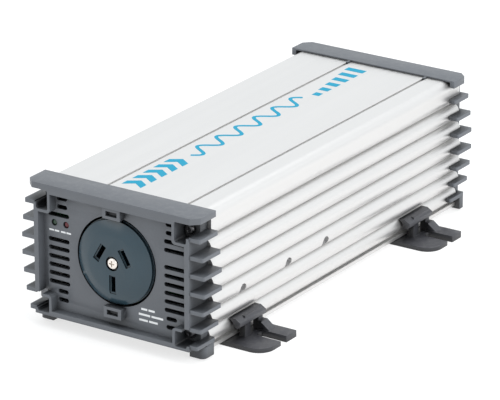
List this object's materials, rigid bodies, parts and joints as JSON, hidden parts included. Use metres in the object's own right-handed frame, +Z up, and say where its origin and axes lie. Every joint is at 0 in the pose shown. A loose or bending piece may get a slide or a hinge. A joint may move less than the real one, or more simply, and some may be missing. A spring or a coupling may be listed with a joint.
{
  "type": "power inverter",
  "caption": "Small 12 V power inverter: finned aluminium case between two plastic end caps, mains outlet and vents in front, clip-on feet, fan and screw terminals behind.",
  "frame": {"origin": "on the floor under the middle of the case, at the centre of the feet's outer box", "axes": "+X right as seen from the front, +Y from the front panel to the rear, +Z up"},
  "size_m": [0.129, 0.237, 0.071],
  "materials": {
    "slate_plastic": "fine-textured moulded plastic, slate grey",
    "foot_plastic": "fine-textured moulded plastic, near black",
    "outlet_plastic": "glossy moulded plastic, near black",
    "aluminium": "satin natural anodised",
    "steel": "zinc-plated, satin",
    "brass": "nickel-flashed brass, bright",
    "copper": "enamelled copper",
    "board": "green solder mask",
    "black_plastic": "black moulded plastic",
    "red_plastic": "red moulded plastic",
    "ferrite": "dark sintered ferrite",
    "core_yellow": "coated powder core",
    "capacitor_sleeve": "shrunk plastic sleeve",
    "fuse_plastic": "translucent fuse body",
    "insulator": "silicone insulating pad",
    "lamp_green": "unlit green lamp lens",
    "lamp_red": "unlit red lamp lens"
  },
  "bodies": {
    "case": {"housing_extrusion": "aluminium", "front_cap": "slate_plastic", "rear_cap": "slate_plastic", "front_cap_screws": "steel", "rear_cap_screws": "steel", "outlet_face": "outlet_plastic", "outlet_body": "outlet_plastic", "outlet_contacts": "brass", "outlet_screw": "brass", "lamp_power": "lamp_green", "lamp_fault": "lamp_red", "lamp_board": "board", "main_board": "board", "control_board": "board", "control_chips": "black_plastic", "transformer_cores": "ferrite", "transformer_windings": "copper", "input_capacitors": "capacitor_sleeve", "bus_capacitors": "black_plastic", "choke_core": "core_yellow", "choke_winding": "copper", "fuses": "fuse_plastic", "power_transistors_right": "black_plastic", "power_transistors_left": "black_plastic", "insulating_strip_right": "insulator", "insulating_strip_left": "insulator", "clamp_bar_right": "steel", "clamp_bar_left": "steel", "clamp_screws_right": "steel", "clamp_screws_left": "steel", "fan_frame": "black_plastic", "fan_guard": "steel", "fan_screws": "steel", "terminal_base": "black_plastic", "positive_stud": "brass", "negative_stud": "brass", "terminal_washers": "brass", "bus_bars": "copper", "switch_body": "black_plastic", "switch_terminals": "brass", "remote_jack": "black_plastic", "earth_stud": "brass", "earth_nuts": "steel"},
    "foot_front_right": {"foot_front_right": "foot_plastic"},
    "foot_front_left": {"foot_front_left": "foot_plastic"},
    "foot_rear_right": {"foot_rear_right": "foot_plastic"},
    "foot_rear_left": {"foot_rear_left": "foot_plastic"},
    "fan_rotor": {"fan_rotor": "black_plastic"},
    "switch_rocker": {"switch_rocker": "black_plastic"},
    "positive_nut": {"positive_nut": "red_plastic"},
    "negative_nut": {"negative_nut": "black_plastic"}
  },
  "joints": [
    {"name": "front_right_foot_slide", "type": "slide", "parent": "case", "child": "foot_front_right", "axis": [0, 1, 0], "range_m": [-0.01, 0.058]},
    {"name": "front_left_foot_slide", "type": "slide", "parent": "case", "child": "foot_front_left", "axis": [0, 1, 0], "range_m": [-0.01, 0.058]},
    {"name": "rear_right_foot_slide", "type": "slide", "parent": "case", "child": "foot_rear_right", "axis": [0, 1, 0], "range_m": [-0.058, 0.014]},
    {"name": "rear_left_foot_slide", "type": "slide", "parent": "case", "child": "foot_rear_left", "axis": [0, 1, 0], "range_m": [-0.058, 0.014]},
    {"name": "fan_spin", "type": "hinge", "parent": "case", "child": "fan_rotor", "pos_m": [-0.0174, 0.1065, 0.0386], "axis": [0, 1, 0], "continuous": true},
    {"name": "power_rocker", "type": "hinge", "parent": "case", "child": "switch_rocker", "pos_m": [0.0124, 0.1073, 0.0276], "axis": [1, 0, 0], "range_deg": [-10, 10]},
    {"name": "positive_nut_turn", "type": "hinge", "parent": "case", "child": "positive_nut", "pos_m": [0.0124, 0.1115, 0.047], "axis": [0, 1, 0], "continuous": true},
    {"name": "negative_nut_turn", "type": "hinge", "parent": "case", "child": "negative_nut", "pos_m": [0.0289, 0.1115, 0.047], "axis": [0, 1, 0], "continuous": true}
  ]
}
